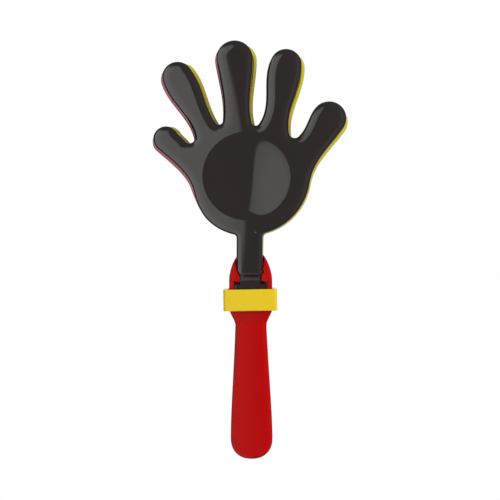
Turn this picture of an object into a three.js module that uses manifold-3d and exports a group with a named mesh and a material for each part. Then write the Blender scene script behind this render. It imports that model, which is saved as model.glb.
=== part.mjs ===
// Hand clapper: three plastic hands on one handle. The middle hand is fixed in the forked head,
// the outer two hang by trunnion bars in the same window and swing out, and a collar keeps them in.
// Millimetres, +Z up, the front hand faces -Y. The origin is at the lower end of the handle.

import * as THREE from 'three';
import { mergeVertices } from 'three/addons/utils/BufferGeometryUtils.js';
import Module from 'manifold-3d';

const wasm = await Module();
wasm.setup();

// Clearances
const runningGap = 0.4;
const seatGap = 0.5;
const windowGap = 0.6;
const snapGap = 0.3;
const snapLip = 0.3;

// Hand outline, seen from the front. Places are from the middle of the foot bar, angles in degrees
// from +X. Each finger ends in an arc round its tip, and each web between two fingers is an arc too.
// The whole outline is then brought to the hand's length, from its foot bar to its middle fingertip.
const handLength = 166.0;
const fingers = {
  little: { x: -56.4, z: 99.9, radius: 8.6, pointing: 132, halfArc: 98 },
  ring: { x: -48.6, z: 141.3, radius: 10.4, pointing: 118, halfArc: 80 },
  middle: { x: -10.4, z: 153.6, radius: 12.4, pointing: 94, halfArc: 95 },
  index: { x: 24.0, z: 149.7, radius: 10.6, pointing: 75, halfArc: 74 },
  thumb: { x: 53.0, z: 113.7, radius: 11.5, pointing: 47, halfArc: 82 },
};
const webs = {
  littleToRing: { x: -40.6, z: 100.7, radius: 3.5, pointing: 296, halfArc: 78 },
  ringToMiddle: { x: -20.9, z: 112.3, radius: 2.6, pointing: 284, halfArc: 70 },
  middleToIndex: { x: 3.7, z: 111.6, radius: 2.6, pointing: 259, halfArc: 66 },
  indexToThumb: { x: 29.8, z: 104.4, radius: 3.7, pointing: 250, halfArc: 62 },
};
const heels = {
  left: { x: -3.6, z: 70.3, radius: 34.7, side: -1, end: 192 },
  right: { x: -1.1, z: 76.9, radius: 41.6, side: 1, end: -9 },
};
const wristFillet = 2.9;
const fingerEase = 0.36;

// Outer hands: open shells with a rounded edge and a dished palm
const shellDepth = 9.4;
const shellWall = 1.4;
const edgeInset = 6.5;
const edgeRise = 5.0;
const dish = { x: -2.0, z: 74.9, radius: 29.5, depth: 1.6 };
const dishRimEase = 1.65;

// Stem, neck and foot bar, shared by the three hands
const stemHalfWidth = 8.5;
const stemEnd = 9.3;
const stemChamfer = 3.0;
const neckHalfWidth = 6.4;
const barRadius = 3.9;
const barHalfLength = 10.3;
const strapFront = 3.6;
const strapThickness = 2.8;

// Middle hand: a flat web inside a raised rim
const middleThickness = 5.2;
const middleWeb = 1.6;
const middleRim = 2.0;

// Handle: grip, flare and head
const barHeight = 114.7;
const gripEndRadius = 13.9;
const gripNeckHalfWidth = 10.5;
const gripHalfDepth = 8.5;
const gripFrontRounding = 3.6;
const gripRearRounding = 1.0;
const flareBelowBar = 12.2;
const flareLength = 12.0;
const gripBulge = 18.0;
const gripTaper = 30.5;
const gripTaperWidth = 1.15;
const headHalfWidth = 14.45;
const headRounding = 2.6;
const archAboveBar = 5.3;
const prongRise = 14.8;
const archShare = 1.338;
const domeShare = 1.148;
const ledgeDrop = 0.6;
const grooveBelowTip = 2.6;

// Cored-out rear of the handle
const handleWall = 2.0;
const frontWall = 1.8;
const ribThickness = 1.4;
const ribPitch = 14.6;
const ribRecess = 1.5;
const windowFloor = 2.4;

// Collar
const collarHeight = 15.0;
const collarBelowBar = 7.7;
const collarSideWall = 3.15;
const collarFaceWall = 2.4;
const collarCorner = 3.4;
const collarEdge = 0.5;

// How the loose pieces lie in their seats, in degrees about the front-to-back axis
const frontHandLean = 0.35;
const middleHandLean = -0.3;
const rearHandLean = 1.3;
const collarLean = -0.6;
const outerHandShift = -0.3;

// Facets
const tipSteps = 9;
const webSteps = 5;
const curveSteps = 6;
const heelSteps = 5;
const filletSteps = 3;
const edgeSteps = 4;
const dishSteps = 6;
const dishSegments = 36;
const barSegments = 32;
const gripSegments = 48;
const cornerSteps = 4;
const gripLevels = 9;
const flareLevels = 7;
const prongLevels = 6;

// Derived sizes
const outlineScale = handLength / (fingers.middle.z + fingers.middle.radius);
const barOffset = middleThickness / 2 + runningGap + barRadius;
const headHalfDepth = barOffset + barRadius + runningGap;
const rimPlane = barRadius;
const flareEnd = barHeight - flareBelowBar;
const flareStart = flareEnd - flareLength;
const archStart = barHeight + archAboveBar;
const prongTip = archStart + prongRise;
const archRise = prongRise * archShare;
const domeRise = prongRise * domeShare;
const grooveTop = prongTip - grooveBelowTip - barHeight;
const boreHalfWidth = headHalfWidth + seatGap;
const boreHalfDepth = headHalfDepth + seatGap;
const farAway = 60;
const hollowOverrun = 1;
const weldDistance = 1e-4;
const quarterTurn = 90;
const halfTurn = 180;
const fullTurn = 360;

const radians = THREE.MathUtils.degToRad;

function v2(x, z) {
  return new THREE.Vector2(x, z);
}

function headingVector(heading) {
  return v2(Math.cos(radians(heading)), Math.sin(radians(heading)));
}

// Arcs that are written down for the outline, brought to the hand's length.
function sized(arcs) {
  const sizedArc = (arc) => {
    const place = { x: arc.x * outlineScale, z: arc.z * outlineScale };
    return { ...arc, ...place, radius: arc.radius * outlineScale };
  };
  return Object.fromEntries(Object.entries(arcs).map(([name, arc]) => [name, sizedArc(arc)]));
}

// Outline points carry the direction into the material, so that rings can be inset from them.
// The outline runs clockwise, and the material is on the right of its heading.
function outlinePoint(place, heading) {
  const ahead = headingVector(heading);
  return { x: place.x, z: place.y, inX: ahead.y, inZ: -ahead.x };
}

function arcPoints(arc, from, to, steps) {
  const turn = to > from ? quarterTurn : -quarterTurn;
  const points = [];
  for (let i = 0; i <= steps; i += 1) {
    const angle = from + ((to - from) * i) / steps;
    const place = headingVector(angle).multiplyScalar(arc.radius).add(v2(arc.x, arc.z));
    points.push(outlinePoint(place, angle + turn));
  }
  return points;
}

// The middle of a cubic curve between two outline points, tangent to both.
function joiningPoints(start, end) {
  const from = v2(start.x, start.z);
  const to = v2(end.x, end.z);
  const reach = from.distanceTo(to) * fingerEase;
  const leaving = v2(-start.inZ, start.inX).multiplyScalar(reach);
  const arriving = v2(-end.inZ, end.inX).multiplyScalar(reach);
  const handles = [from.clone().add(leaving), to.clone().sub(arriving)];
  const curve = new THREE.CubicBezierCurve(from, ...handles, to);
  const points = [];
  for (let i = 1; i < curveSteps; i += 1) {
    const tangent = curve.getTangent(i / curveSteps);
    const heading = THREE.MathUtils.radToDeg(Math.atan2(tangent.y, tangent.x));
    points.push(outlinePoint(curve.getPoint(i / curveSteps), heading));
  }
  return points;
}

function fingerTip(finger) {
  return arcPoints(finger, finger.pointing + finger.halfArc, finger.pointing - finger.halfArc, tipSteps);
}

function webArc(web) {
  return arcPoints(web, web.pointing - web.halfArc, web.pointing + web.halfArc, webSteps);
}

// The fillet between the stem's side and a heel's arc, and the angle at which it meets the heel.
function wrist(heel) {
  const x = heel.side * (stemHalfWidth + wristFillet);
  const reach = heel.radius + wristFillet;
  const z = heel.z - Math.sqrt(reach * reach - (x - heel.x) ** 2);
  const meeting = THREE.MathUtils.radToDeg(Math.atan2(z - heel.z, x - heel.x));
  return { arc: { x, z, radius: wristFillet }, meeting };
}

// The closed outline: up the stem, round the heel and the five fingers, and down the stem again.
function handOutline() {
  const finger = sized(fingers);
  const web = sized(webs);
  const heel = sized(heels);
  const left = wrist(heel.left);
  const right = wrist(heel.right);
  const foot = stemEnd - edgeInset - shellWall;
  const parts = [
    [{ x: -stemHalfWidth, z: foot, inX: 1, inZ: 1 }],
    arcPoints(left.arc, 0, left.meeting + halfTurn, filletSteps),
    arcPoints(heel.left, left.meeting + fullTurn, heel.left.end, heelSteps).slice(1),
    fingerTip(finger.little),
    webArc(web.littleToRing),
    fingerTip(finger.ring),
    webArc(web.ringToMiddle),
    fingerTip(finger.middle),
    webArc(web.middleToIndex),
    fingerTip(finger.index),
    webArc(web.indexToThumb),
    fingerTip(finger.thumb),
    arcPoints(heel.right, heel.right.end, right.meeting, heelSteps).slice(0, -1),
    arcPoints(right.arc, right.meeting + halfTurn, halfTurn, filletSteps),
    [{ x: stemHalfWidth, z: foot, inX: -1, inZ: 1 }],
  ];
  const firstJoin = 2;
  const lastJoin = parts.length - 4;
  const outline = [];
  parts.forEach((points, i) => {
    outline.push(...points);
    if (i >= firstJoin && i <= lastJoin) {
      outline.push(...joiningPoints(points.at(-1), parts[i + 1][0]));
    }
  });
  return outline;
}

function inset(outline, distance) {
  return outline.map((p) => v2(p.x + p.inX * distance, p.z + p.inZ * distance));
}

function circle(centre, radius, segments) {
  const points = [];
  for (let i = 0; i < segments; i += 1) {
    const angle = (i / segments) * Math.PI * 2;
    points.push(v2(centre.x + radius * Math.cos(angle), centre.z + radius * Math.sin(angle)));
  }
  return points;
}

// A closed body is gathered as vertices and triangles, then handed over with its faces outward.
class Body {
  constructor() {
    this.vertices = [];
    this.triangles = [];
  }

  ring(points, place) {
    const first = this.vertices.length;
    points.forEach((p) => this.vertices.push(place(p)));
    return { first, points };
  }

  band(a, b) {
    const count = a.points.length;
    for (let i = 0; i < count; i += 1) {
      const j = (i + 1) % count;
      this.triangles.push([a.first + i, a.first + j, b.first + j]);
      this.triangles.push([a.first + i, b.first + j, b.first + i]);
    }
  }

  // A flat face inside a ring, turned the way that is asked for.
  face(ring, counterClockwise) {
    const faces = THREE.ShapeUtils.triangulateShape(ring.points, []);
    const place = (i) => ring.points[i];
    const area = faces.reduce((sum, corners) => sum + THREE.ShapeUtils.area(corners.map(place)), 0);
    faces.forEach((corners) => {
      const triangle = corners.map((i) => ring.first + i);
      this.triangles.push(area > 0 === counterClockwise ? triangle : triangle.reverse());
    });
  }

  solid() {
    const geometry = new THREE.BufferGeometry();
    geometry.setAttribute('position', new THREE.Float32BufferAttribute(this.vertices.flat(), 3));
    geometry.setIndex(this.triangles.flat());
    return toSolid(geometry);
  }
}

function toSolid(geometry) {
  const plain = geometry.clone();
  plain.deleteAttribute('normal');
  plain.deleteAttribute('uv');
  const merged = mergeVertices(plain, weldDistance);
  const corners = Array.from(merged.getIndex().array);
  const isWhole = (a, b, c) => a !== b && b !== c && c !== a;
  const kept = corners.filter((_, i) => {
    const first = i - (i % 3);
    return isWhole(corners[first], corners[first + 1], corners[first + 2]);
  });
  return new wasm.Manifold(
    new wasm.Mesh({
      numProp: 3,
      vertProperties: new Float32Array(merged.getAttribute('position').array),
      triVerts: new Uint32Array(kept),
    }),
  );
}

// A flat outline in X and Z, given thickness from one Y to another.
function plate(points, fromY, toY) {
  const geometry = new THREE.ExtrudeGeometry(new THREE.Shape(points), {
    depth: toY - fromY,
    bevelEnabled: false,
  });
  geometry.rotateX(Math.PI / 2);
  geometry.translate(0, toY, 0);
  return toSolid(geometry);
}

function box(width, depth, height, x, y, z) {
  return toSolid(new THREE.BoxGeometry(width, depth, height).translate(x, y, z));
}

function mirrorPoints(half) {
  const other = half.map((p) => v2(-p.x, p.y)).reverse();
  return [...half, ...other];
}

// The full pillow of an outer hand, or its hollow: skin is how far its surface lies inside the hand's.
function pillow(outline, skin) {
  const body = new Body();
  const at = (depth) => (p) => [p.x, rimPlane - depth, p.y];
  const side = shellDepth - edgeRise;
  const mouth = skin > 0 ? -hollowOverrun : 0;
  const rings = [body.ring(inset(outline, skin), at(mouth))];
  for (let i = 0; i <= edgeSteps; i += 1) {
    const angle = (i / edgeSteps) * (Math.PI / 2);
    const distance = skin + (edgeInset - skin) * (1 - Math.cos(angle));
    const depth = side + (edgeRise - skin) * Math.sin(angle);
    rings.push(body.ring(inset(outline, distance), at(depth)));
  }
  rings.slice(1).forEach((ring, i) => body.band(ring, rings[i]));
  body.face(rings[0], false);
  body.face(rings.at(-1), true);
  return body.solid();
}

// What the dish takes out of the palm: a shallow bowl with an eased rim, open towards -Y.
function dishCut(skin) {
  const palm = sized({ dish }).dish;
  const rim = rimPlane - shellDepth + skin;
  const profile = [v2(0, rim - hollowOverrun), v2(palm.radius, rim - hollowOverrun)];
  for (let i = 0; i <= dishSteps; i += 1) {
    const share = 1 - i / dishSteps;
    const deep = palm.depth * (1 - share * share) ** dishRimEase;
    profile.push(v2(palm.radius * share, rim + deep));
  }
  return toSolid(new THREE.LatheGeometry(profile, dishSegments).translate(palm.x, 0, palm.z));
}

// What is cut away below the stem, with its two chamfered corners.
function stemTrim(end) {
  const shoulder = end + stemChamfer;
  const corners = [v2(farAway, -farAway), v2(farAway, shoulder), v2(stemHalfWidth, shoulder)];
  const half = [...corners, v2(neckHalfWidth, end)];
  return plate(mirrorPoints(half), -farAway, farAway);
}

function footBar() {
  const bar = new THREE.CylinderGeometry(barRadius, barRadius, barHalfLength * 2, barSegments);
  return toSolid(bar.rotateZ(Math.PI / 2));
}

// One outer hand, with the axis of its trunnion bar on the local X axis and its palm facing -Y.
function outerHand() {
  const outline = handOutline();
  const outside = pillow(outline, 0).subtract(stemTrim(stemEnd)).subtract(dishCut(0));
  const trimmed = pillow(outline, shellWall).subtract(stemTrim(stemEnd + shellWall));
  const hollow = trimmed.subtract(dishCut(shellWall));
  const strapHeight = stemEnd + shellWall / 2;
  const strapMiddle = strapThickness / 2 - strapFront;
  const strap = box(neckHalfWidth * 2, strapThickness, strapHeight, 0, strapMiddle, strapHeight / 2);
  return outside.subtract(hollow).add(strap).add(footBar());
}

// Half the outline of the head's T-shaped window, from the middle of the foot bars: room for the
// bars, the necks and the stems. Widened, it bounds the groove for the middle hand, or its root.
function windowHalf(widening, top) {
  const stemRoom = stemHalfWidth + windowGap + widening;
  const neckRoom = neckHalfWidth + seatGap + widening;
  const barRoom = barHalfLength + windowGap + widening;
  const barCeiling = barRadius + windowGap + widening;
  const slope = stemChamfer / (stemHalfWidth - neckHalfWidth);
  const ledgeTop = stemEnd - ledgeDrop - widening * (Math.hypot(1, slope) - slope);
  const shoulder = ledgeTop + (stemRoom - neckRoom) * slope;
  return [
    v2(barRoom, -barCeiling),
    v2(barRoom, barCeiling),
    v2(neckRoom, barCeiling),
    v2(neckRoom, ledgeTop),
    v2(stemRoom, shoulder),
    v2(stemRoom, top),
  ];
}

// The middle hand's root: it snaps past the window's edge into the groove, and fills the window
// between the prongs up to their tips.
function middleRoot() {
  const rim = middleThickness / 2;
  const top = grooveTop - snapGap;
  const neckOfRoot = stemHalfWidth + windowGap - snapGap;
  const half = windowHalf(snapLip, top);
  half.push(v2(neckOfRoot, top), v2(neckOfRoot, prongTip - barHeight));
  return plate(mirrorPoints(half), -rim, rim);
}

// The middle hand, with the middle of its T-shaped foot at the local origin.
function middleHand() {
  const outline = handOutline();
  const rim = middleThickness / 2;
  const blade = plate(inset(outline, 0), -rim, rim).subtract(stemTrim(stemEnd));
  const recess = (fromY, toY) => plate(inset(outline, middleRim), fromY, toY);
  const recesses = recess(-farAway, -middleWeb / 2).add(recess(middleWeb / 2, farAway));
  return blade.subtract(recesses).add(middleRoot());
}

// Half the grip's width: a cubic curve from its round end up to its neck.
const gripSide = new THREE.CubicBezierCurve(
  v2(gripEndRadius, gripEndRadius),
  v2(gripEndRadius, gripEndRadius + gripBulge),
  v2(gripNeckHalfWidth + gripTaperWidth, flareStart - gripTaper),
  v2(gripNeckHalfWidth, flareStart),
);

// One level of the handle: its height, half width, half depth and edge radii.
function level(z, gripHalfWidth) {
  const rise = Math.max(0, z - archStart);
  const flare = THREE.MathUtils.smoothstep(z, flareStart, flareEnd);
  const arch = Math.sqrt(1 - (rise / archRise) ** 2);
  const dome = Math.sqrt(1 - (rise / domeRise) ** 2);
  return {
    z,
    halfWidth: THREE.MathUtils.lerp(gripHalfWidth, headHalfWidth, flare) * arch,
    halfDepth: THREE.MathUtils.lerp(gripHalfDepth, headHalfDepth, flare) * dome,
    front: THREE.MathUtils.lerp(gripFrontRounding, headRounding, flare) * dome,
    rear: THREE.MathUtils.lerp(gripRearRounding, headRounding, flare) * dome,
  };
}

function heights(from, to, steps) {
  const step = (to - from) / steps;
  return Array.from({ length: steps }, (_, i) => from + step * (i + 1));
}

function handleLevels() {
  const grip = gripSide.getPoints(gripLevels).map((p) => level(p.y, p.x));
  const above = [
    ...heights(flareStart, flareEnd, flareLevels),
    ...heights(flareEnd, archStart, 1),
    ...heights(archStart, prongTip, prongLevels),
  ];
  return [...grip, ...above.map((z) => level(z, gripNeckHalfWidth))];
}

// A rectangle in X and Y with rounded corners: one radius at the front (-Y), one at the rear.
function section(halfWidth, halfDepth, front, rear) {
  const corners = [
    { x: 1, y: -1, radius: front, from: -quarterTurn },
    { x: 1, y: 1, radius: rear, from: 0 },
    { x: -1, y: 1, radius: rear, from: quarterTurn },
    { x: -1, y: -1, radius: front, from: halfTurn },
  ];
  const points = [];
  corners.forEach((corner) => {
    for (let i = 0; i <= cornerSteps; i += 1) {
      const angle = corner.from + (quarterTurn * i) / cornerSteps;
      const out = headingVector(angle).multiplyScalar(corner.radius);
      const x = corner.x * (halfWidth - corner.radius);
      const y = corner.y * (halfDepth - corner.radius);
      points.push(v2(x + out.x, y + out.y));
    }
  });
  return points;
}

// A body through rounded sections at rising heights.
function loft(levels) {
  const body = new Body();
  const rings = levels.map((l) => {
    const points = section(l.halfWidth, l.halfDepth, l.front, l.rear);
    return body.ring(points, (p) => [p.x, p.y, l.z]);
  });
  body.face(rings[0], false);
  rings.slice(1).forEach((ring, i) => body.band(rings[i], ring));
  body.face(rings.at(-1), true);
  return body.solid();
}

// The round end of the grip: its section at the widest level, turned about the front-to-back axis.
function gripEnd() {
  const widest = section(gripEndRadius, gripHalfDepth, gripFrontRounding, gripRearRounding);
  const right = widest.filter((p) => p.x > 0);
  const profile = [v2(0, -gripHalfDepth), ...right, v2(0, gripHalfDepth)];
  return toSolid(new THREE.LatheGeometry(profile, gripSegments).translate(0, 0, gripEndRadius));
}

// The window through the head, and the groove round the middle of it for the middle hand's root.
function headWindow() {
  const grooveHalf = middleThickness / 2 + snapGap;
  const window = plate(mirrorPoints(windowHalf(0, farAway)), -farAway, farAway);
  const grooveOutline = mirrorPoints(windowHalf(snapLip + snapGap, grooveTop));
  return window.add(plate(grooveOutline, -grooveHalf, grooveHalf)).translate([0, 0, barHeight]);
}

// The hollow behind the handle's front wall, in cells between its ribs.
function rearCells() {
  const top = barHeight - barRadius - windowGap - windowFloor;
  const sides = handleLevels().filter((l) => l.z < top);
  const last = sides.at(-1);
  const half = sides.map((l) => v2(l.halfWidth - handleWall, l.z));
  half.push(v2(last.halfWidth - handleWall, top));
  const back = -gripHalfDepth + frontWall;
  const round = circle({ x: 0, z: gripEndRadius }, gripEndRadius - handleWall, gripSegments);
  const hollow = plate(mirrorPoints(half), back, farAway).add(plate(round, back, farAway));
  const ribTop = gripHalfDepth - ribRecess;
  const ribDepth = ribTop - back;
  const ribMiddle = (ribTop + back) / 2;
  let ribs = box(ribThickness, ribDepth, top * 2, 0, ribMiddle, 0);
  for (let z = gripEndRadius; z < top; z += ribPitch) {
    ribs = ribs.add(box(farAway, ribDepth, ribThickness, 0, ribMiddle, z));
  }
  return hollow.subtract(ribs);
}

function handle() {
  return loft(handleLevels()).add(gripEnd()).subtract(headWindow()).subtract(rearCells());
}

// The collar about its own middle: a rounded ring with chamfered outer edges.
function collar() {
  const outerLevel = (z, edge) => ({
    z,
    halfWidth: boreHalfWidth + collarSideWall - edge,
    halfDepth: boreHalfDepth + collarFaceWall - edge,
    front: collarCorner - edge,
    rear: collarCorner - edge,
  });
  const end = collarHeight / 2;
  const outside = loft([
    outerLevel(-end, collarEdge),
    outerLevel(collarEdge - end, 0),
    outerLevel(end - collarEdge, 0),
    outerLevel(end, collarEdge),
  ]);
  const corner = headRounding + seatGap;
  const bore = { halfWidth: boreHalfWidth, halfDepth: boreHalfDepth, front: corner, rear: corner };
  return outside.subtract(loft([{ z: -farAway, ...bore }, { z: farAway, ...bore }]));
}

const blackPlastic = { color: 0x2c2827, roughness: 0.24, metalness: 0 };
const redPlastic = { color: 0xb01010, roughness: 0.34, metalness: 0 };
const yellowPlastic = { color: 0xe3c51c, roughness: 0.36, metalness: 0 };

function piece(name, solid, finish, lean) {
  const mesh = solid.getMesh();
  const geometry = new THREE.BufferGeometry();
  geometry.setAttribute('position', new THREE.Float32BufferAttribute(mesh.vertProperties, 3));
  geometry.setIndex(new THREE.Uint32BufferAttribute(mesh.triVerts, 1));
  geometry.computeVertexNormals();
  const object = new THREE.Mesh(geometry, new THREE.MeshStandardMaterial(finish));
  object.name = name;
  object.rotation.y = radians(lean);
  return object;
}

const outer = outerHand();
const clapper = new THREE.Group();

clapper.add(piece('handle', handle(), redPlastic, 0));

const middle = piece('middle_hand', middleHand(), redPlastic, middleHandLean);
middle.position.set(0, 0, barHeight);
clapper.add(middle);

const front = piece('front_hand', outer, blackPlastic, frontHandLean);
front.position.set(outerHandShift, -barOffset, barHeight);
clapper.add(front);

const rear = piece('rear_hand', outer.mirror([0, 1, 0]), yellowPlastic, rearHandLean);
rear.position.set(outerHandShift, barOffset, barHeight);
clapper.add(rear);

const ring = piece('collar', collar(), yellowPlastic, collarLean);
ring.position.set(0, 0, barHeight - collarBelowBar);
clapper.add(ring);

export default clapper;
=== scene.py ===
import math

import bmesh
import bpy
from mathutils import Matrix, Vector

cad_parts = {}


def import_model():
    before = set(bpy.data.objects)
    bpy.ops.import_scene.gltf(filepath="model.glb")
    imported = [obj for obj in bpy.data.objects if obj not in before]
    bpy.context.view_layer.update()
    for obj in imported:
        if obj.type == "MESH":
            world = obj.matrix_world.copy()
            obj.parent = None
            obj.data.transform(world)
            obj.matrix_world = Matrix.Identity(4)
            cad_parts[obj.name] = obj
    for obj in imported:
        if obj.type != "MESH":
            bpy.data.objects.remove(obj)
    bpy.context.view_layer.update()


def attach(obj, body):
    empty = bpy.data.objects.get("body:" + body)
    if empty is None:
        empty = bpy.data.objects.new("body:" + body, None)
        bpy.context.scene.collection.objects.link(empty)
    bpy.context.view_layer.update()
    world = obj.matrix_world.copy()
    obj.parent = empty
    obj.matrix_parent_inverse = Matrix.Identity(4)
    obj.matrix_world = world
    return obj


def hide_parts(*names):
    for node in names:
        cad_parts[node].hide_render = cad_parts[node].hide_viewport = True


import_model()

# Hand clapper: the visible surfaces of its five moulded pieces. Lengths are in millimetres and in
# each piece's own place, as in the solids, and are brought to metres in the frame at the end.
# Angles are in degrees.

MM = 0.001

# Hand outline, seen from the front, from the middle of the foot bar: x, z, radius, the direction
# that the arc points in, and half of what it spans
FINGERS = {
    "little": (-56.4, 99.9, 8.6, 132, 98),
    "ring": (-48.6, 141.3, 10.4, 118, 80),
    "middle": (-10.4, 153.6, 12.4, 94, 95),
    "index": (24.0, 149.7, 10.6, 75, 74),
    "thumb": (53.0, 113.7, 11.5, 47, 82),
}
WEBS = {
    "little_ring": (-40.6, 100.7, 3.5, 296, 78),
    "ring_middle": (-20.9, 112.3, 2.6, 284, 70),
    "middle_index": (3.7, 111.6, 2.6, 259, 66),
    "index_thumb": (29.8, 104.4, 3.7, 250, 62),
}
# The two arcs of the heel: x, z, radius, side, and the angle where each ends
LEFT_HEEL = (-3.6, 70.3, 34.7, -1, 192)
RIGHT_HEEL = (-1.1, 76.9, 41.6, 1, -9)
WRIST_FILLET = 2.9
# How far the ends of a curve between two arcs reach, as a share of the way between them
CURVE_REACH = 0.36
# By how much the front hand is fuller on each side, and the heights where that starts and is full
FRONT_LEFT = [(0.4, 56, 46), (0.34, 38, 33)]
FRONT_RIGHT = [(-0.24, 34, 30)]
# The share of an inset that the stem does without, and the heights where that starts and is full
STEM_INSET_CUT = (0.5, 46, 33)

# Outer hands
SHELL_DEPTH = 9.4
SHELL_WALL = 2.0
EDGE_INSET = 6.5
EDGE_RISE = 5.0
PALM_STEP = 0.4
DISH_X = -2.0
DISH_Z = 74.9
DISH_RADIUS = 29.5
DISH_DEPTH = 1.6
DISH_POWER = 1.65
STEM_HALF_WIDTH = 8.5
STEM_END = 9.3
STEM_CHAMFER = 3.0
CHAMFER_BEYOND = 1.2
NECK_HALF_WIDTH = 6.4
BAR_RADIUS = 3.9
BAR_HALF_LENGTH = 10.3
BAR_EASE = 0.5
BAR_EASE_KNEE = 0.15
STRAP_FRONT = 3.6
STRAP_THICKNESS = 2.8

# Middle hand
MIDDLE_HALF = 2.6
MIDDLE_EDGE = 1.3
MIDDLE_WEB_HALF = 0.8
MIDDLE_RIM = 2.0
ROOT_BELOW_TIP = 0.6
# How far its edges that face left are moved to the right: more and more between two x, less round
# a spot of the heel, and less under the little finger, where that starts and where it stops
SPREAD = 1.3
SPREAD_FROM, SPREAD_TO = -45, 10
HEEL_SPREAD = -0.9
HEEL_SPOT = (-48, 88)
HEEL_REACH = (12, 14)
UNDER_FINGER_SPREAD = -0.8
UNDER_FINGER_STARTS = (58, 66)
UNDER_FINGER_STOPS = (99, 91)

# Head window, and the groove for the middle hand's root
WINDOW_GAP = 0.6
SEAT_GAP = 0.5
SNAP_GAP = 0.1
SNAP_LIP = 0.15
LEDGE_DROP = 0.6
GROOVE_BELOW_TIP = 2.6
STEM_ROOM_LEFT = 9.6
STEM_ROOM_RIGHT = 8.85
FRONT_STEM_ROOM_LEFT = 9.45
FRONT_STEM_ROOM_RIGHT = 8.5
STEM_ROOM_LOW = 5.0
WINDOW_EASE = 1.5
# The thickness of the step between the rooms in front of the middle hand and behind
ROOM_STEP = 0.01

# Handle
BAR_HEIGHT = 114.7
GRIP_END_RADIUS = 14.05
GRIP_END_POWER = 2.25
GRIP_END_REACH = 18.0
GRIP_NECK_HALF_WIDTH = 10.5
GRIP_NECK_REACH = 30.5
GRIP_NECK_SLANT = 1.15
GRIP_HALF_DEPTH = 8.5
GRIP_FRONT_ROUNDING = 3.6
GRIP_REAR_ROUNDING = 1.0
FLARE_START = 89.6
FLARE_END = 101.6
HEAD_HALF_WIDTH = 14.45
HEAD_HALF_DEPTH = 11.2
HEAD_ROUNDING = 2.6
ARCH_START = 120.0
ARCH_RISE = 22.1
ARCH_POWER = 1.7
DOME_RISE = 19.6
PRONG_RISE = 17.2
PRONG_TIP = ARCH_START + PRONG_RISE
HANDLE_WALL = 2.0
FRONT_WALL = 1.8
CELLS_TOP = 107.8
RIB_THICKNESS = 1.4
RIB_PITCH = 14.6
RIB_RECESS = 1.5

# Collar
COLLAR_HEIGHT = 14.3
COLLAR_HALF_WIDTH = 17.95
COLLAR_HALF_DEPTH = 14.1
COLLAR_CORNER = 2.0
COLLAR_EDGE = 0.5
BORE_HALF_WIDTH = 14.95
BORE_HALF_DEPTH = 11.7
BORE_CORNER = 3.1
BORE_EDGE = 0.4

# Places in the handle's frame, and leans about the front-to-back axis
BAR_OFFSET = 6.9
OUTER_SHIFT = -0.3
FRONT_PLACE = (OUTER_SHIFT, -BAR_OFFSET, BAR_HEIGHT)
FRONT_LEAN = 0.35
REAR_PLACE = (OUTER_SHIFT, BAR_OFFSET, BAR_HEIGHT)
REAR_LEAN = 1.3
MIDDLE_PLACE = (0, 0, BAR_HEIGHT)
MIDDLE_LEAN = -0.3
COLLAR_PLACE = (-0.3, 0, 107.0)
COLLAR_LEAN = -0.6

# Fineness
TIP_STEPS = 36
WEB_STEPS = 18
CURVE_STEPS = 28
HEEL_STEPS = 30
FILLET_STEPS = 10
EDGE_STEPS = 16
DISH_RINGS = 48
ROUND_STEPS = 96
BAR_STEPS = 48
MIDDLE_EDGE_STEPS = 6
COLLAR_EDGE_STEPS = 4
CORNER_STEPS = 10
EASE_STEPS = 6
GRIP_STEPS = 40
FLARE_STEPS = 24
PRONG_STEPS = 28
STEM_ROOM_STEPS = 12
CELL_GRIP_STEPS = 24
CELL_FLARE_STEPS = 12
WELD = 1e-5
SHARP_ANGLE = 32

# How far a cutting body stands out of what it cuts, and lengths that are past every surface
OVERCUT = 1.0
FAR = 60.0
HIGH = 180.0

# Camera, from the photograph's scale
PHOTO_WIDTH = 334.93
CAMERA_DISTANCE = 700.0
PHOTO_PLANE_Y = -7.4
VIEW_X, VIEW_Z = -0.3, 140.34
CAMERA_ROLL = 0.37
SENSOR_WIDTH = 36.0
NEAREST = 20.0


def place_camera():
    data = bpy.data.cameras.new("camera")
    data.sensor_width = SENSOR_WIDTH
    data.lens = SENSOR_WIDTH * CAMERA_DISTANCE / PHOTO_WIDTH
    data.clip_start = NEAREST * MM
    camera = bpy.data.objects.new("camera", data)
    bpy.context.collection.objects.link(camera)
    roll = math.radians(CAMERA_ROLL)
    right = Vector((math.cos(roll), 0, -math.sin(roll)))
    up = Vector((math.sin(roll), 0, math.cos(roll)))
    turn = Matrix((right, up, right.cross(up))).transposed().to_4x4()
    spot = Vector((VIEW_X, PHOTO_PLANE_Y - CAMERA_DISTANCE, VIEW_Z)) * MM
    camera.matrix_world = Matrix.Translation(spot) @ turn
    bpy.context.scene.camera = camera


def blend(a, b, share):
    return a + (b - a) * share


def smooth(value, start, end):
    """A smooth step from 0 at the start to 1 at the end."""
    t = min(1, max(0, (value - start) / (end - start)))
    return t * t * (3 - 2 * t)


def direction(angle):
    return Vector((math.cos(math.radians(angle)), math.sin(math.radians(angle))))


def circle(steps):
    return [direction(360 * i / steps) for i in range(steps)]


# Outline: points of x and z, each with the way into the material

def outline_point(place, heading):
    """A point of the outline, whose material is on the right of its heading."""
    ahead = direction(heading)
    return place, Vector((ahead.y, -ahead.x))


def arc_points(centre, radius, start, end, steps):
    turn = 90 if end > start else -90
    points = []
    for i in range(steps + 1):
        angle = start + (end - start) * i / steps
        points.append(outline_point(Vector(centre) + direction(angle) * radius, angle + turn))
    return points


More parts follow.
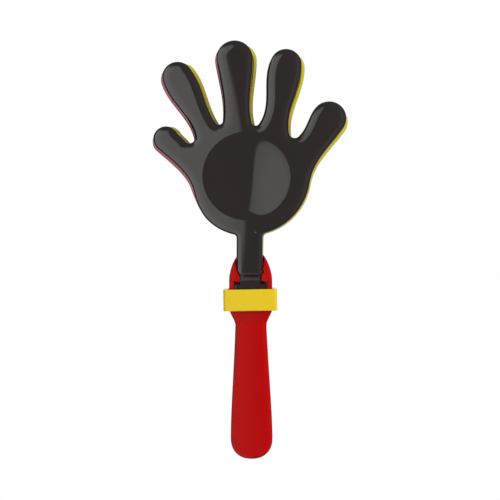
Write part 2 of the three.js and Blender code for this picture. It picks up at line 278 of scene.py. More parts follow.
def joining_points(start, end):
    """The middle of a cubic curve between two outline points, tangent to both."""
    a, b = start[0], end[0]
    reach = (b - a).length * CURVE_REACH
    c = a + Vector((-start[1].y, start[1].x)) * reach
    d = b - Vector((-end[1].y, end[1].x)) * reach
    points = []
    for i in range(1, CURVE_STEPS):
        t = i / CURVE_STEPS
        s = 1 - t
        place = a * s ** 3 + c * (3 * s * s * t) + d * (3 * s * t * t) + b * t ** 3
        slope = (c - a) * (s * s) + (d - c) * (2 * s * t) + (b - d) * (t * t)
        points.append(outline_point(place, math.degrees(math.atan2(slope.y, slope.x))))
    return points


def finger_tip(name):
    x, z, radius, pointing, half_arc = FINGERS[name]
    return arc_points((x, z), radius, pointing + half_arc, pointing - half_arc, TIP_STEPS)


def web_arc(name):
    x, z, radius, pointing, half_arc = WEBS[name]
    return arc_points((x, z), radius, pointing - half_arc, pointing + half_arc, WEB_STEPS)


def wrist(heel):
    """Centre of the fillet between the stem and a heel, and the angle where it meets the heel."""
    x, z, radius, side, _ = heel
    fillet_x = side * (STEM_HALF_WIDTH + WRIST_FILLET)
    fillet_z = z - math.sqrt((radius + WRIST_FILLET) ** 2 - (fillet_x - x) ** 2)
    return (fillet_x, fillet_z), math.degrees(math.atan2(fillet_z - z, fillet_x - x))


def hand_outline():
    """The outline of a hand, from the left of its stem round to the right."""
    left, left_meeting = wrist(LEFT_HEEL)
    right, right_meeting = wrist(RIGHT_HEEL)
    foot = STEM_END - EDGE_INSET - SHELL_WALL - OVERCUT
    lx, lz, l_radius, _, l_end = LEFT_HEEL
    rx, rz, r_radius, _, r_end = RIGHT_HEEL
    runs = [
        arc_points((lx, lz), l_radius, left_meeting + 360, l_end, HEEL_STEPS)[1:],
        finger_tip("little"),
        web_arc("little_ring"),
        finger_tip("ring"),
        web_arc("ring_middle"),
        finger_tip("middle"),
        web_arc("middle_index"),
        finger_tip("index"),
        web_arc("index_thumb"),
        finger_tip("thumb"),
        arc_points((rx, rz), r_radius, r_end, right_meeting, HEEL_STEPS)[:-1],
    ]
    outline = [(Vector((-STEM_HALF_WIDTH, foot)), Vector((1, 1)))]
    outline += arc_points(left, WRIST_FILLET, 0, left_meeting + 180, FILLET_STEPS)
    for run, following in zip(runs, runs[1:]):
        outline += run + joining_points(run[-1], following[0])
    outline += runs[-1]
    outline += arc_points(right, WRIST_FILLET, right_meeting + 180, 180, FILLET_STEPS)
    outline.append((Vector((STEM_HALF_WIDTH, foot)), Vector((-1, 1))))
    return outline


def fuller(place, inward):
    """Moves a point to the front hand's outline, fuller on the left and slimmer on the right."""
    sides = FRONT_LEFT if place.x < 0 else FRONT_RIGHT
    grown = sum(amount * smooth(place.y, start, full) for amount, start, full in sides)
    return place - inward * grown


def spread(place, inward):
    """Moves a point to the middle hand's outline, which stands aside where it faces left."""
    facing_left = max(0, inward.x)
    along = min(1, max(0, (place.x - SPREAD_FROM) / (SPREAD_TO - SPREAD_FROM)))
    from_heel = [(p - spot) / reach for p, spot, reach in zip(place, HEEL_SPOT, HEEL_REACH)]
    heel = math.exp(-from_heel[0] ** 2 - from_heel[1] ** 2)
    under_finger = 0
    if place.x < 0:
        under_finger = smooth(place.y, *UNDER_FINGER_STARTS) * smooth(place.y, *UNDER_FINGER_STOPS)
    aside = SPREAD * along + HEEL_SPREAD * heel + UNDER_FINGER_SPREAD * under_finger
    return place + Vector((facing_left * aside, 0))


OUTLINE = hand_outline()
FRONT_OUTLINE = [(fuller(place, inward), inward) for place, inward in OUTLINE]
MIDDLE_OUTLINE = [(spread(place, inward), inward) for place, inward in OUTLINE]


# Rings of points

def level_ring(points, y):
    """Points of x and z as a ring at one depth."""
    return [Vector((x, y, z)) for x, z in points]


def outer_ring(outline, inset, y):
    """The outline of an outer hand drawn in by an inset, at one depth."""
    without, start, full = STEM_INSET_CUT
    points = [
        place + inward * inset * (1 - without * smooth(place.y, start, full))
        for place, inward in outline
    ]
    return level_ring(points, y)


def blade_ring(inset, y):
    """The middle hand's outline drawn in by an inset, at one depth."""
    return level_ring([place + inward * inset for place, inward in MIDDLE_OUTLINE], y)


def rounded_section(half_width, half_depth, front, rear, z):
    """A rectangle at one height, with its own rounding for its front and rear corners."""
    corners = [(1, -1, front, -90), (1, 1, rear, 0), (-1, 1, rear, 90), (-1, -1, front, 180)]
    ring = []
    for side_x, side_y, radius, start in corners:
        for i in range(CORNER_STEPS + 1):
            out = direction(start + 90 * i / CORNER_STEPS) * radius
            x = side_x * (half_width - radius) + out.x
            ring.append(Vector((x, side_y * (half_depth - radius) + out.y, z)))
    return ring


def rounded_edges(half, radius, steps):
    """Inset and place through a thickness with rounded edges, from one face to the other."""
    first = []
    for i in range(steps + 1):
        angle = math.pi / 2 * i / steps
        first.append((radius * (1 - math.sin(angle)), radius * (1 - math.cos(angle)) - half))
    return first + [(inset, -place) for inset, place in reversed(first)]


def both_sides(right, left):
    """An outline of x and z from its right half and its left, which is given mirrored."""
    return right + [(-x, z) for x, z in reversed(left)]


# Mesh bodies

def body(name, verts, faces):
    mesh = bpy.data.meshes.new(name)
    mesh.from_pydata([tuple(v) for v in verts], [], faces)
    bm = bmesh.new()
    bm.from_mesh(mesh)
    bmesh.ops.remove_doubles(bm, verts=bm.verts, dist=WELD)
    bmesh.ops.recalc_face_normals(bm, faces=bm.faces)
    bm.to_mesh(mesh)
    bm.free()
    piece = bpy.data.objects.new(name, mesh)
    bpy.context.collection.objects.link(piece)
    return piece


def band_faces(count, first, second):
    """The faces between two rings of a count of points."""
    faces = []
    for i in range(count):
        j = (i + 1) % count
        faces.append((first * count + i, first * count + j, second * count + j, second * count + i))
    return faces


def stack(name, rings):
    """A closed body through rings of points, with a flat face at each end."""
    count = len(rings[0])
    last = len(rings) - 1
    faces = [tuple(range(count)), tuple(range(last * count, (last + 1) * count))]
    for k in range(last):
        faces += band_faces(count, k, k + 1)
    return body(name, [p for ring in rings for p in ring], faces)


def hoop(name, rings):
    """A closed body through rings of points that come back to the first."""
    count = len(rings[0])
    faces = []
    for k in range(len(rings)):
        faces += band_faces(count, k, (k + 1) % len(rings))
    return body(name, [p for ring in rings for p in ring], faces)


def revolve(name, profile, x, z, power=2):
    """A closed body about a line along Y, from a profile of radius and y.

    With a power of 2 it is round, and with a higher one it is fuller than round.
    """
    rings = []
    for radius, y in profile:
        ring = []
        for out in circle(ROUND_STEPS):
            out *= radius / (abs(out.x) ** power + abs(out.y) ** power) ** (1 / power)
            ring.append(Vector((x + out.x, y, z + out.y)))
        rings.append(ring)
    return stack(name, rings)


def prism(name, points, from_y, to_y):
    """A flat outline of x and z with thickness along Y."""
    return stack(name, [level_ring(points, y) for y in (from_y, to_y)])


def box(name, half_width, from_y, to_y, low, high):
    side = [(half_width, low), (half_width, high)]
    return prism(name, both_sides(side, side), from_y, to_y)


def combine(piece, other, operation):
    """Joins another body to a piece, or cuts it away."""
    modifier = piece.modifiers.new("combine", "BOOLEAN")
    modifier.object = other
    modifier.operation = operation
    modifier.solver = "MANIFOLD"
    graph = bpy.context.evaluated_depsgraph_get()
    combined = bpy.data.meshes.new_from_object(piece.evaluated_get(graph))
    piece.modifiers.clear()
    piece.data = combined
    bpy.data.objects.remove(other)
    return piece


def cut(piece, other):
    return combine(piece, other, "DIFFERENCE")


def join(piece, other):
    return combine(piece, other, "UNION")


# Outer hands

def pillow(name, outline, skin):
    """The full form of an outer hand, or its hollow, that lies a skin's thickness inside."""
    rim = BAR_RADIUS
    side = SHELL_DEPTH - EDGE_RISE
    rings = [outer_ring(outline, skin, rim + (OVERCUT if skin else 0))]
    for i in range(EDGE_STEPS + 1):
        angle = math.pi / 2 * i / EDGE_STEPS
        inset = skin + (EDGE_INSET - skin) * (1 - math.cos(angle))
        y = rim - side - (EDGE_RISE - skin) * math.sin(angle)
        rings.append(outer_ring(outline, inset, y))
    rings.append(outer_ring(outline, EDGE_INSET + PALM_STEP, rim - SHELL_DEPTH + skin))
    return stack(name, rings)


def dish_cut(skin):
    """What the dish takes from the palm, or from the hollow a skin's thickness behind it."""
    rim = BAR_RADIUS - SHELL_DEPTH + skin
    profile = [(0, rim - OVERCUT), (DISH_RADIUS, rim - OVERCUT)]
    for i in range(DISH_RINGS + 1):
        share = 1 - i / DISH_RINGS
        deep = DISH_DEPTH * (1 - share ** 2) ** DISH_POWER
        profile.append((DISH_RADIUS * share, rim + deep))
    return revolve("dish", profile, DISH_X, DISH_Z)


def stem_trim(end):
    """What is cut away below the stem; its chamfers go on a little beyond the stem's sides."""
    slope = STEM_CHAMFER / (STEM_HALF_WIDTH - NECK_HALF_WIDTH)
    shoulder = end + STEM_CHAMFER + CHAMFER_BEYOND * slope
    side = [
        (FAR, -FAR),
        (FAR, shoulder),
        (STEM_HALF_WIDTH + CHAMFER_BEYOND, shoulder),
        (NECK_HALF_WIDTH, end),
    ]
    return prism("trim", both_sides(side, side), -FAR, FAR)


def foot_bar():
    """The trunnion bar, along X, with softened ends."""
    ease = [(BAR_EASE, 0), (BAR_EASE_KNEE, BAR_EASE_KNEE), (0, BAR_EASE)]
    right = [(BAR_HALF_LENGTH - back, BAR_RADIUS - down) for back, down in ease]
    left = [(-x, radius) for x, radius in reversed(right)]
    rings = []
    for x, radius in left + right:
        around = [out * radius for out in circle(BAR_STEPS)]
        rings.append([Vector((x, out.x, out.y)) for out in around])
    return stack("bar", rings)


def outer_hand(name, outline):
    shell = cut(pillow(name, outline, 0), stem_trim(STEM_END))
    shell = cut(shell, dish_cut(0))
    hollow = cut(pillow("hollow", outline, SHELL_WALL), stem_trim(STEM_END + SHELL_WALL))
    hollow = cut(hollow, dish_cut(SHELL_WALL))
    shell = cut(shell, hollow)
    strap_top = STEM_END + SHELL_WALL / 2
    strap_rear = STRAP_THICKNESS - STRAP_FRONT
    strap = box("strap", NECK_HALF_WIDTH, -STRAP_FRONT, strap_rear, 0, strap_top)
    return join(join(shell, strap), foot_bar())


# Middle hand

def middle_root():
    """The part between the prongs, which snaps into the groove and fills the window."""
    top = PRONG_TIP - GROOVE_BELOW_TIP - BAR_HEIGHT - SNAP_GAP
    tip = PRONG_TIP - ROOT_BELOW_TIP - BAR_HEIGHT
    right, left = (
        window_half(room, SNAP_LIP, top) + [(room - SNAP_GAP, top), (room - SNAP_GAP, tip)]
        for room in (STEM_ROOM_RIGHT, STEM_ROOM_LEFT)
    )
    return prism("root", both_sides(right, left), -MIDDLE_HALF, MIDDLE_HALF)


def middle_hand(name):
    edges = rounded_edges(MIDDLE_HALF, MIDDLE_EDGE, MIDDLE_EDGE_STEPS)
    blade = stack(name, [blade_ring(inset, y) for inset, y in edges])
    blade = cut(blade, stem_trim(STEM_END))
    for side in (-1, 1):
        depths = (MIDDLE_WEB_HALF, MIDDLE_HALF + OVERCUT)
        pocket = stack("pocket", [blade_ring(MIDDLE_RIM, side * depth) for depth in depths])
        blade = cut(blade, cut(pocket, stem_trim(STEM_END + MIDDLE_RIM)))
    return join(blade, middle_root())


# Handle

def grip_side(t):
    """Height and half width of the grip, from its round end up to its neck."""
    points = [
        Vector((GRIP_END_RADIUS, GRIP_END_RADIUS)),
        Vector((GRIP_END_RADIUS, GRIP_END_RADIUS + GRIP_END_REACH)),
        Vector((GRIP_NECK_HALF_WIDTH + GRIP_NECK_SLANT, FLARE_START - GRIP_NECK_REACH)),
        Vector((GRIP_NECK_HALF_WIDTH, FLARE_START)),
    ]
    s = 1 - t
    weights = (s ** 3, 3 * s * s * t, 3 * s * t * t, t ** 3)
    place = sum((p * w for p, w in zip(points, weights)), Vector((0, 0)))
    return place.y, place.x


def head_dome(z):
    """The share of the head's depth that its domed top has at a height."""
    rise = min(PRONG_RISE, max(0, z - ARCH_START))
    return math.sqrt(1 - (rise / DOME_RISE) ** 2)


def handle_level(z, grip_half_width):
    flare = smooth(z, FLARE_START, FLARE_END)
    rise = max(0, z - ARCH_START)
    arch = math.sqrt(1 - (rise / ARCH_RISE) ** ARCH_POWER)
    dome = head_dome(z)
    half_width = blend(grip_half_width, HEAD_HALF_WIDTH, flare) * arch
    half_depth = blend(GRIP_HALF_DEPTH, HEAD_HALF_DEPTH, flare) * dome
    front = blend(GRIP_FRONT_ROUNDING, HEAD_ROUNDING, flare) * dome
    rear = blend(GRIP_REAR_ROUNDING, HEAD_ROUNDING, flare) * dome
    return rounded_section(half_width, half_depth, front, rear, z)


def head_heights():
    """Heights of the sections above the grip, closer together towards the prongs' tips."""
    flare = [i / FLARE_STEPS for i in range(1, FLARE_STEPS + 1)]
    prong = [math.sin(math.pi / 2 * i / PRONG_STEPS) for i in range(PRONG_STEPS + 1)]
    heights = [blend(FLARE_START, FLARE_END, share) for share in flare]
    return heights + [blend(ARCH_START, PRONG_TIP, share) for share in prong]


def grip_end():
    """The round end: the grip's widest section, turned about the front-to-back axis."""
    widest = rounded_section(
        GRIP_END_RADIUS, GRIP_HALF_DEPTH, GRIP_FRONT_ROUNDING, GRIP_REAR_ROUNDING, 0
    )
    side = [(p.x, p.y) for p in widest if p.x > 0]
    profile = [(0, -GRIP_HALF_DEPTH)] + side + [(0, GRIP_HALF_DEPTH)]
    return revolve("grip_end", profile, 0, GRIP_END_RADIUS, GRIP_END_POWER)


def window_half(stem_room, widening, top):
    """Half of the T-shaped window's outline, from the middle of the foot bars."""
    stem = stem_room + widening
    neck = NECK_HALF_WIDTH + SEAT_GAP + widening
    bar = BAR_HALF_LENGTH + WINDOW_GAP + widening
    ceiling = BAR_RADIUS + WINDOW_GAP + widening
    slope = STEM_CHAMFER / (STEM_HALF_WIDTH - NECK_HALF_WIDTH)
    ledge = STEM_END - LEDGE_DROP - widening * (math.hypot(1, slope) - slope)
    shoulder = ledge + (stem - neck) * slope
    return [
        (bar, -ceiling),
        (bar, ceiling),
        (neck, ceiling),
        (neck, ledge),
        (stem, shoulder),
        (stem, top),
    ]


def rooms(y):
    """The window's room for the stems at a depth, on the right and on the left."""
    if y < -MIDDLE_HALF:
        return FRONT_STEM_ROOM_RIGHT, FRONT_STEM_ROOM_LEFT
    return STEM_ROOM_RIGHT, STEM_ROOM_LEFT


def window_outline(y, widening, top):
    """The window's outline in the head at a depth."""
    right, left = (window_half(room, widening, top) for room in rooms(y))
    return [(x, z + BAR_HEIGHT) for x, z in both_sides(right, left)]


def eased(depth):
    """How far an eased edge stands back at a depth under the surface."""
    inside = min(0, depth - WINDOW_EASE)
    return WINDOW_EASE - math.sqrt(max(0, WINDOW_EASE ** 2 - inside ** 2))


def eased_stations(surface):
    """Y and widening from front to rear through an opening between two surfaces, eased at both."""
    angles = [math.pi / 2 * i / EASE_STEPS for i in range(EASE_STEPS + 1)]
    depths = [WINDOW_EASE * (1 - math.sin(angle)) for angle in angles]
    rear = [(surface - depth, eased(depth)) for depth in depths] + [(FAR, WINDOW_EASE)]
    middle = [(-MIDDLE_HALF - ROOM_STEP, 0), (-MIDDLE_HALF, 0)]
    return [(-y, widening) for y, widening in reversed(rear)] + middle + rear


def through_window():
    """The window through the head, with eased edges at the front and rear."""
    stations = eased_stations(HEAD_HALF_DEPTH)
    rings = [level_ring(window_outline(y, widening, FAR), y) for y, widening in stations]
    return stack("window", rings)


def stem_room():
    """The room for the stems between the prongs, eased all the way up their domed faces."""
    low = BAR_HEIGHT + STEM_END + STEM_ROOM_LOW
    shares = [i / STEM_ROOM_STEPS for i in range(STEM_ROOM_STEPS + 1)]
    rings = []
    for z in [blend(low, PRONG_TIP, share) for share in shares] + [HIGH]:
        stations = eased_stations(HEAD_HALF_DEPTH * head_dome(z))
        right = [Vector((rooms(y)[0] + widening, y, z)) for y, widening in stations]
        left = [Vector((-rooms(y)[1] - widening, y, z)) for y, widening in reversed(stations)]
        rings.append(right + left)
    return stack("stem_room", rings)


def groove():
    """The groove round the window, in which the middle hand's root snaps."""
    top = PRONG_TIP - GROOVE_BELOW_TIP - BAR_HEIGHT
    half = MIDDLE_HALF + SNAP_GAP
    return prism("groove", window_outline(0, SNAP_LIP + SNAP_GAP, top), -half, half)


def rear_cells():
    """The hollows behind the handle's front wall, between its ribs."""
    front = FRONT_WALL - GRIP_HALF_DEPTH
    rib_rear = GRIP_HALF_DEPTH - RIB_RECESS
    side = []
    for i in range(CELL_GRIP_STEPS + 1):
        z, half_width = grip_side(i / CELL_GRIP_STEPS)
        side.append((half_width - HANDLE_WALL, z))
    for i in range(1, CELL_FLARE_STEPS + 1):
        share = i / CELL_FLARE_STEPS
        half_width = blend(GRIP_NECK_HALF_WIDTH, HEAD_HALF_WIDTH, smooth(share, 0, 1))
        side.append((half_width - HANDLE_WALL, blend(FLARE_START, FLARE_END, share)))
    side.append((HEAD_HALF_WIDTH - HANDLE_WALL, CELLS_TOP))
    hollow = prism("hollow", both_sides(side, side), front, FAR)
    inner = GRIP_END_RADIUS - HANDLE_WALL
    profile = [(0, front), (inner, front), (inner, FAR), (0, FAR)]
    hollow = join(hollow, revolve("hollow_end", profile, 0, GRIP_END_RADIUS, GRIP_END_POWER))
    ribs = [(RIB_THICKNESS / 2, -FAR, HIGH)]
    z = GRIP_END_RADIUS
    while z < CELLS_TOP:
        ribs.append((FAR, z - RIB_THICKNESS / 2, z + RIB_THICKNESS / 2))
        z += RIB_PITCH
    for half_width, low, high in ribs:
        hollow = cut(hollow, box("rib", half_width, front - OVERCUT, rib_rear, low, high))
    return hollow


def handle(name):
    levels = []
    for i in range(GRIP_STEPS + 1):
        z, half_width = grip_side(i / GRIP_STEPS)
        levels.append(handle_level(z, half_width))
    levels += [handle_level(z, GRIP_NECK_HALF_WIDTH) for z in head_heights()]
    form = join(stack(name, levels), grip_end())
    for hole in (through_window(), stem_room(), groove(), rear_cells()):
        form = cut(form, hole)
    return form


# Collar

def collar(name):
    end = COLLAR_HEIGHT / 2
    rings = []
    for inset, z in rounded_edges(end, COLLAR_EDGE, COLLAR_EDGE_STEPS):
        half_width = COLLAR_HALF_WIDTH - inset
        half_depth = COLLAR_HALF_DEPTH - inset
        corner = COLLAR_CORNER - inset
        rings.append(rounded_section(half_width, half_depth, corner, corner, z))
    bore_end = end - BORE_EDGE
    for z, wider in ((end, BORE_EDGE), (bore_end, 0), (-bore_end, 0), (-end, BORE_EDGE)):
        half_width = BORE_HALF_WIDTH + wider
        half_depth = BORE_HALF_DEPTH + wider
        corner = BORE_CORNER + wider
        rings.append(rounded_section(half_width, half_depth, corner, corner, z))
    return hoop(name, rings)


# Node trees

def feed(tree, node, inputs):
    """Sets inputs of a node to values, or links them to the outputs of other nodes."""
    for name, value in inputs.items():
        if isinstance(value, Term):
            value = value.socket
        if isinstance(value, bpy.types.NodeSocket):
            tree.links.new(value, node.inputs[name])
        else:
            node.inputs[name].default_value = value


def add_node(tree, kind, inputs=()):
    node = tree.nodes.new("ShaderNode" + kind)
    feed(tree, node, dict(inputs))
    return node


def source(node, name):
    """The output that an input of a node is linked to."""
    return node.inputs[name].links[0].from_socket


class Term:
    """A number in a node tree, so that sums can be written with it."""

    def __init__(self, tree, socket):
        self.tree = tree
        self.socket = socket

    def maths(self, operation, *others):
        node = add_node(self.tree, "Math", dict(enumerate((self, *others))))
        node.operation = operation
        return Term(self.tree, node.outputs[0])

    def __add__(self, other):
        return self.maths("ADD", other)

    def __sub__(self, other):
        return self.maths("SUBTRACT", other)

    def __mul__(self, other):
        return self.maths("MULTIPLY", other)

    def maximum(self, other):
        return self.maths("MAXIMUM", other)

    def rest(self):
        """What is left of 1."""
        return self * -1 + 1

    def ramp(self, start, end, low=0, high=1):
        """A smooth step from low at the start to high at the end."""
        node = add_node(self.tree, "MapRange", {
            "Value": self, "From Min": start, "From Max": end, "To Min": low, "To Max": high,
        })
        node.interpolation_type = "SMOOTHSTEP"
        return Term(self.tree, node.outputs["Result"])

    def below(self, level, ease):
        """1 under a level in millimetres and 0 over it, eased on both sides."""
        return self.ramp((level + ease) * MM, (level - ease) * MM)

    def between(self, low, high, ease):
        """1 between two levels in millimetres and 0 outside."""
        return self.below(high, ease) * self.below(low, ease).rest()


def distance(a, b):
    """How far two offsets at right angles lead."""
    return (a * a + b * b).maths("SQRT")


# Plastics

CLOUD_SCALE = 38.0
CLOUD_DETAIL = 3.0
SKIN_DETAIL = 2.0
SKIN_DEPTH = 0.1
SURFACE_SAMPLES = 6
# The refraction of a plastic, and how fine and how strong its skin's grain is
GLOSSY = {"ior": 1.5, "grain": 600, "relief": 0.01}
SATIN = {"ior": 1.46, "grain": 900, "relief": 0.03}


def plastic(name, colour, shade, roughness, ior, specular, grain, relief, edge):
    """Moulded plastic: a faint cloudiness in its colour and gloss, soft edges and a fine skin."""
    material = bpy.data.materials.new(name)
    material.use_nodes = True
    tree = material.node_tree
    coords = add_node(tree, "TexCoord").outputs["Object"]
    cloud = add_node(tree, "TexNoise", {
        "Vector": coords, "Scale": CLOUD_SCALE, "Detail": CLOUD_DETAIL,
    }).outputs["Fac"]
    tint = tree.nodes.new("ShaderNodeMix")
    tint.data_type = "RGBA"
    feed(tree, tint, {"Factor": cloud, "A": (*colour, 1), "B": (*shade, 1)})
    wear = add_node(tree, "MapRange", {
        "Value": cloud, "To Min": roughness[0], "To Max": roughness[1],
    })
    skin = add_node(tree, "TexNoise", {"Vector": coords, "Scale": grain, "Detail": SKIN_DETAIL})
    soft_edge = add_node(tree, "Bevel", {"Radius": edge * MM})
    soft_edge.samples = SURFACE_SAMPLES
    bump = add_node(tree, "Bump", {
        "Strength": relief,
        "Distance": SKIN_DEPTH * MM,
        "Height": skin.outputs["Fac"],
        "Normal": soft_edge.outputs["Normal"],
    })
    feed(tree, tree.nodes["Principled BSDF"], {
        "Base Color": tint.outputs["Result"],
        "Roughness": wear.outputs["Result"],
        "IOR": ior,
        "Specular IOR Level": specular,
        "Normal": bump.outputs["Normal"],
    })
    return material


def paint_corner_shade(material, reach, share):
    """Painted shade: darkens the colour by a share where hemmed in within a reach."""
    tree = material.node_tree
    shader = tree.nodes["Principled BSDF"]
    hemmed = add_node(tree, "AmbientOcclusion", {"Distance": reach * MM})
    hemmed.samples = SURFACE_SAMPLES
    left = add_node(tree, "MapRange", {"Value": hemmed.outputs["AO"], "To Min": 1 - share})
    mix = tree.nodes.new("ShaderNodeMix")
    mix.data_type = "RGBA"
    mix.blend_type = "MULTIPLY"
    feed(tree, mix, {
        "Factor": 1.0, "A": source(shader, "Base Color"), "B": left.outputs["Result"],
    })
    feed(tree, shader, {"Base Color": mix.outputs["Result"]})


# The front hand's surface leans to the side by small slopes, which shading alone gives it. Slopes
# that change are per metre, and places are in the handle's frame.

# The palm's crown: the slope from its crest, which is a bent line through a point
CROWN = 2.2
CROWN_X, CROWN_Z = -3.08, 160.0
CROWN_SLANT = 0.0545
CROWN_BEND = -1.835

# The dish's slope: at its middle, its change up the dish and what that gains further up, and its
# change across and what that gains further up. Its foot, under a line that bends round a point
# below the dish's middle, leans a little more.
DISH_TILT = 0.0236
DISH_TWIST = 0.383
DISH_BEND = -22.0
DISH_TURN = -0.973
DISH_SHEAR = 33.7
FOOT_X, FOOT_Z = 9.5, -25.9
FOOT_BEND = 42.5
FOOT_TILT = 0.05
# Where the dish's slope takes over from the crown's: an offset from its radius, and an ease
DISH_EDGE = (-0.15, 0.25)

# The neck and the bar under it lean too, from their tops down, and so does the gate mark
NECK_TOP = 123.7
NECK_TILT = -0.005
BAR_TOP = 119.4
BAR_TILT = 0.2
GATE_X, GATE_Z = 3.4, 152.0
GATE_RADIUS = 0.55
GATE_TILT = -0.12
LEVEL_EASE = 0.3

# Two bands are matt: on the neck and along the stem's lip
NECK_BAND = (120.0, 121.9)
STEM_LIP = (124.1, 124.9)
MATT = 0.38


def crown_palm(material):
    """Leans the front hand's surface and makes its matt bands."""
    tree = material.node_tree
    shader = tree.nodes["Principled BSDF"]
    coords = add_node(tree, "TexCoord")
    split = add_node(tree, "SeparateXYZ", {"Vector": coords.outputs["Object"]})
    x, z = (Term(tree, split.outputs[axis]) for axis in "XZ")

    height = z - CROWN_Z * MM
    crest = height * (height * CROWN_BEND + CROWN_SLANT) + CROWN_X * MM
    crown = (x - crest) * CROWN

    across = x - (OUTER_SHIFT + DISH_X) * MM
    up = z - (BAR_HEIGHT + DISH_Z) * MM
    from_foot = across - FOOT_X * MM
    foot_line = up - from_foot * from_foot * FOOT_BEND
    at_foot = foot_line.below(FOOT_Z, LEVEL_EASE) * FOOT_TILT
    sides = across * (up * DISH_SHEAR + DISH_TURN) + DISH_TILT
    dish = up * (up * DISH_BEND + DISH_TWIST) + sides + at_foot
    offset, ease = DISH_EDGE
    in_dish = distance(across, up).below(DISH_RADIUS + offset, ease)
    palm = crown + in_dish * (dish - crown)

    at_neck = z.below(NECK_TOP, LEVEL_EASE) * NECK_TILT
    at_bar = z.below(BAR_TOP, LEVEL_EASE) * BAR_TILT
    from_gate = distance(x - GATE_X * MM, z - GATE_Z * MM)
    at_gate = from_gate.below(GATE_RADIUS, LEVEL_EASE) * GATE_TILT
    tilt = palm + at_gate + (at_neck + at_bar)

    lean = add_node(tree, "CombineXYZ", {"X": tilt})
    turned = add_node(tree, "VectorTransform", {"Vector": lean.outputs["Vector"]})
    turned.vector_type = "VECTOR"
    turned.convert_from = "OBJECT"
    turned.convert_to = "WORLD"
    leaned = add_node(tree, "VectorMath", {
        0: source(shader, "Normal"), 1: turned.outputs["Vector"],
    })
    leaned.operation = "ADD"
    unit = add_node(tree, "VectorMath", {0: leaned.outputs["Vector"]})
    unit.operation = "NORMALIZE"

    neck_band, stem_lip = (z.between(*band, LEVEL_EASE) for band in (NECK_BAND, STEM_LIP))
    matt = neck_band.maximum(stem_lip) * MATT
    roughness = matt.maximum(source(shader, "Roughness"))
    feed(tree, shader, {"Roughness": roughness, "Normal": unit.outputs["Vector"]})


BLACK = plastic(
    "black_plastic", colour=(0.0225, 0.0182, 0.0170), shade=(0.0248, 0.020, 0.0187),
    roughness=(0.03, 0.06), specular=0.5, edge=0.35, **GLOSSY,
)
RED = plastic(
    "red_plastic", colour=(0.405, 0.0022, 0.0022), shade=(0.43, 0.0028, 0.0028),
    roughness=(0.16, 0.24), specular=0.1, edge=0.4, **SATIN,
)
BLADE = plastic(
    "red_blade_plastic", colour=(0.40, 0.0022, 0.0022), shade=(0.43, 0.0028, 0.0028),
    roughness=(0.16, 0.24), specular=1.0, edge=0.4, **SATIN,
)
YELLOW = plastic(
    "yellow_plastic", colour=(0.74, 0.54, 0.016), shade=(0.71, 0.505, 0.014),
    roughness=(0.2, 0.3), specular=0.25, edge=0.3, **SATIN,
)
LEMON = plastic(
    "lemon_plastic", colour=(0.66, 0.58, 0.02), shade=(0.63, 0.54, 0.018),
    roughness=(0.2, 0.3), specular=0.3, edge=0.4, **SATIN,
)
crown_palm(BLACK)
# Painted shade: the red handle is darker where it is hemmed in, such as beside the stems.
paint_corner_shade(RED, reach=3.0, share=0.45)


# Pieces

def finish_piece(piece, material, place, lean, node, body_name, facing_rear=False):
    """Shades a piece, brings it to its place in metres, hangs it on its body and hides its CAD
    node.
    """
    bm = bmesh.new()
    bm.from_mesh(piece.data)
    for face in bm.faces:
        face.smooth = True
    sharp = math.radians(SHARP_ANGLE)
    for edge in bm.edges:
        edge.smooth = len(edge.link_faces) != 2 or edge.calc_face_angle() <= sharp
    mirror = Matrix.Scale(-1, 4, (0, 1, 0)) if facing_rear else Matrix.Identity(4)
    turn = Matrix.Rotation(math.radians(lean), 4, "Y")
    bm.transform(Matrix.Scale(MM, 4) @ Matrix.Translation(place) @ turn @ mirror)
    if facing_rear:
        bmesh.ops.reverse_faces(bm, faces=bm.faces)
    bm.to_mesh(piece.data)
    bm.free()
    piece.data.materials.clear()
    piece.data.materials.append(material)
    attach(piece, body_name)
    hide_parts(node)


place_camera()
finish_piece(
    outer_hand("front_shell", FRONT_OUTLINE), BLACK, FRONT_PLACE, FRONT_LEAN,
    node="front_hand", body_name="front_hand",
)
finish_piece(
    outer_hand("rear_shell", OUTLINE), LEMON, REAR_PLACE, REAR_LEAN,
    node="rear_hand", body_name="rear_hand", facing_rear=True,
)
finish_piece(
    middle_hand("middle_blade"), BLADE, MIDDLE_PLACE, MIDDLE_LEAN,
    node="middle_hand", body_name="handle",
)
finish_piece(
    handle("grip"), RED, (0, 0, 0), 0,
    node="handle", body_name="handle",
)
finish_piece(
    collar("collar_ring"), YELLOW, COLLAR_PLACE, COLLAR_LEAN,
    node="collar", body_name="collar",
)


# Light and background, in metres

# Square lamps: spot, size and power
LAMPS = {
    "fill": ((0.9, -0.9, 0.7), 1.2, 16),
    "back_fill": ((0, 1.25, 0.6), 1.0, 7),
}
LAMP_AIM = (0, 0, 0.15)

# The studio's light by the way that a mirrored ray goes: x to the right, y to the back, z up. Each
# ramp is where it starts and ends, and its light at both.
AMBIENT = 0.56
STUDIO_DARK = 0.08
WALL_SIDE = (0.002, -0.014, 0, 1)
WALL_BACK = (0.3, 0.1, 0, 1)
WALL_TOP = (0.6, 0.9, 1, 0)
WALL_NEAR_LIGHT = (-0.01, -0.1, 1.05, 1.4)
WALL_FAR_LIGHT = (-0.1, -0.95, 0, 0.6)
FRONT = (0.05, -0.05, 0, 1)
FRONT_RIGHT_LIGHT = (0.72, 0.85, 0, 0.2)
BACK_LIGHT = (0.75, 0.96, 0, 0.92)

FLOOR_RADIUS = 1.1
FLOOR_Z = -0.45
FLOOR_STEPS = 96
FLOOR_COLOUR = (0.9, 0.9, 0.9, 1)
FLOOR_ROUGHNESS = 0.8
# The share of the floor that is plain white to the camera: a ramp by the distance from its middle
FLOOR_WHITE = (0.65, 1.15, 0.8, 1)


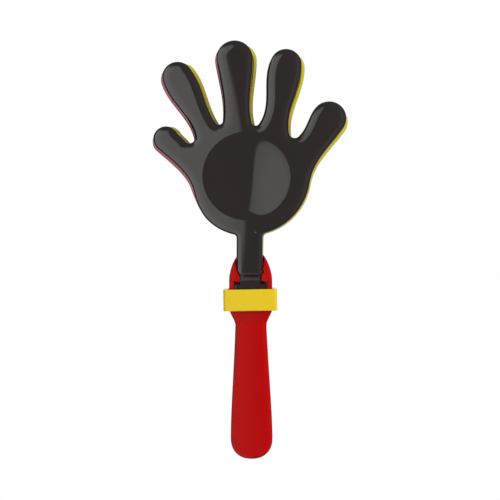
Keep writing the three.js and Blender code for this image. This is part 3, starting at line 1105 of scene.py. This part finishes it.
def square_lamp(name, spot, size, power):
    """A lamp that isn't seen itself, also not in the plastic."""
    data = bpy.data.lights.new(name, "AREA")
    data.shape = "SQUARE"
    data.size = size
    data.energy = power
    lamp = bpy.data.objects.new(name, data)
    bpy.context.collection.objects.link(lamp)
    back = (Vector(spot) - Vector(LAMP_AIM)).normalized()
    turn = back.to_track_quat("Z", "Y").to_matrix().to_4x4()
    lamp.matrix_world = Matrix.Translation(spot) @ turn
    lamp.visible_camera = False
    lamp.visible_glossy = False


def world():
    """White to the camera. Mirrored rays meet a dark studio with a bright wall on the left."""
    studio = bpy.data.worlds.new("studio")
    bpy.context.scene.world = studio
    studio.use_nodes = True
    tree = studio.node_tree
    coords = add_node(tree, "TexCoord")
    split = add_node(tree, "SeparateXYZ", {"Vector": coords.outputs["Generated"]})
    x, y, z = (Term(tree, split.outputs[axis]) for axis in "XYZ")
    on_wall = x.ramp(*WALL_SIDE) * y.ramp(*WALL_BACK) * z.ramp(*WALL_TOP)
    wall = on_wall * (x.ramp(*WALL_NEAR_LIGHT) + x.ramp(*WALL_FAR_LIGHT))
    front_right = y.ramp(*FRONT) * x.ramp(*FRONT_RIGHT_LIGHT)
    mirrored_light = wall + front_right + STUDIO_DARK + y.ramp(*BACK_LIGHT)
    path = add_node(tree, "LightPath")
    seen, glossy, through = (
        Term(tree, path.outputs[name])
        for name in ("Is Camera Ray", "Is Glossy Ray", "Is Transmission Ray")
    )
    mirrored = glossy.maximum(through)
    strength = seen.maximum(mirrored * mirrored_light + mirrored.rest() * AMBIENT)
    feed(tree, tree.nodes["Background"], {"Color": (1, 1, 1, 1), "Strength": strength})


def floor():
    """A pale round floor well below the held clapper: white to the camera but for the shadow."""
    rim = [(FLOOR_RADIUS * out.x, FLOOR_RADIUS * out.y, FLOOR_Z) for out in circle(FLOOR_STEPS)]
    piece = body("floor", rim, [tuple(range(FLOOR_STEPS))])
    material = bpy.data.materials.new("floor")
    material.use_nodes = True
    tree = material.node_tree
    shader = tree.nodes["Principled BSDF"]
    feed(tree, shader, {"Base Color": FLOOR_COLOUR, "Roughness": FLOOR_ROUGHNESS})
    coords = add_node(tree, "TexCoord")
    radius = add_node(tree, "VectorMath", {0: coords.outputs["Object"]})
    radius.operation = "LENGTH"
    white = Term(tree, radius.outputs["Value"]).ramp(*FLOOR_WHITE)
    path = add_node(tree, "LightPath")
    mix = add_node(tree, "MixShader", {
        0: Term(tree, path.outputs["Is Camera Ray"]) * white,
        1: shader.outputs["BSDF"],
        2: add_node(tree, "Emission").outputs["Emission"],
    })
    feed(tree, tree.nodes["Material Output"], {"Surface": mix.outputs["Shader"]})
    piece.data.materials.append(material)
    piece.visible_glossy = False


for name, (spot, size, power) in LAMPS.items():
    square_lamp(name, spot, size, power)
world()
floor()
bpy.context.scene.view_settings.view_transform = "Standard"
